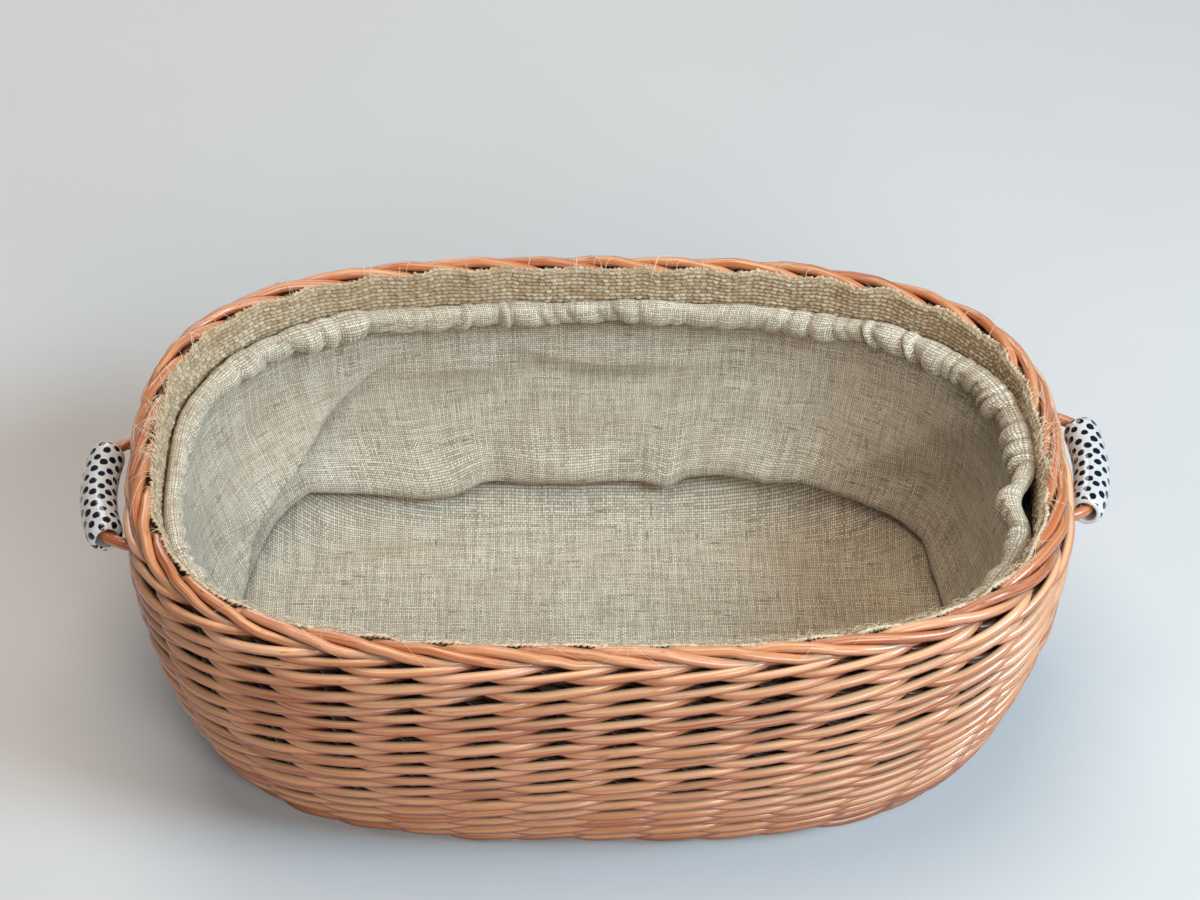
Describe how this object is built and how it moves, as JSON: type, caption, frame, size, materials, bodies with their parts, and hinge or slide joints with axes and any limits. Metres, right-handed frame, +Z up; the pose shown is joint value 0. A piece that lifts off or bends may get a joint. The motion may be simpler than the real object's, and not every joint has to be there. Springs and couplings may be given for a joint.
{
  "type": "bread basket",
  "caption": "Oval open willow basket for bread, with a removable linen lining, a jute band inside the rim and a glazed ceramic grip at each end.",
  "frame": {"origin": "on the floor, under the middle of the base", "axes": "+X along the length, +Y across, +Z up"},
  "size_m": [0.4786, 0.2798, 0.1547],
  "materials": {
    "willow": "peeled boiled willow rods with a dull sheen",
    "jute": "coarse jute webbing, hairy",
    "linen": "unbleached plain-weave linen",
    "tape": "black hook-and-loop tape",
    "elastic": "woven elastic",
    "glazed_ceramic": "glossy white glaze with dark blue dots"
  },
  "bodies": {
    "basket": {"stake_01": "willow", "stake_02": "willow", "stake_03": "willow", "stake_04": "willow", "stake_05": "willow", "stake_06": "willow", "stake_07": "willow", "stake_08": "willow", "stake_09": "willow", "stake_10": "willow", "stake_11": "willow", "stake_12": "willow", "stake_13": "willow", "stake_14": "willow", "stake_15": "willow", "stake_16": "willow", "stake_17": "willow", "stake_18": "willow", "stake_19": "willow", "stake_20": "willow", "stake_21": "willow", "stake_22": "willow", "stake_23": "willow", "stake_24": "willow", "stake_25": "willow", "stake_26": "willow", "stake_27": "willow", "stake_28": "willow", "stake_29": "willow", "stake_30": "willow", "stake_31": "willow", "stake_32": "willow", "stake_33": "willow", "stake_34": "willow", "stake_35": "willow", "stake_36": "willow", "base_weave": "willow", "base_long_stick_1": "willow", "base_long_stick_2": "willow", "base_long_stick_3": "willow", "base_cross_stick_1": "willow", "base_cross_stick_2": "willow", "base_cross_stick_3": "willow", "base_cross_stick_4": "willow", "base_cross_stick_5": "willow", "upsett_wale": "willow", "side_wale_lower": "willow", "side_wale_upper": "willow", "jute_band": "jute", "hook_tape": "tape", "right_handle_bow": "willow", "left_handle_bow": "willow"},
    "lining": {"lining_side_panel": "linen", "lining_base_panel": "linen", "lining_hem_elastic": "elastic", "loop_tape": "tape"},
    "right_grip": {"right_ceramic_grip": "glazed_ceramic"},
    "left_grip": {"left_ceramic_grip": "glazed_ceramic"}
  },
  "joints": [
    {"name": "lining_lift", "type": "slide", "parent": "basket", "child": "lining", "axis": [0, 0, 1], "range_m": [0, 0.18]},
    {"name": "right_grip_rock", "type": "hinge", "parent": "basket", "child": "right_grip", "pos_m": [0.22406, 0.0086, 0.13], "axis": [0, -1, 0], "range_deg": [0, 28]},
    {"name": "left_grip_rock", "type": "hinge", "parent": "basket", "child": "left_grip", "pos_m": [-0.22406, -0.0086, 0.13], "axis": [0, 1, 0], "range_deg": [0, 28]}
  ]
}
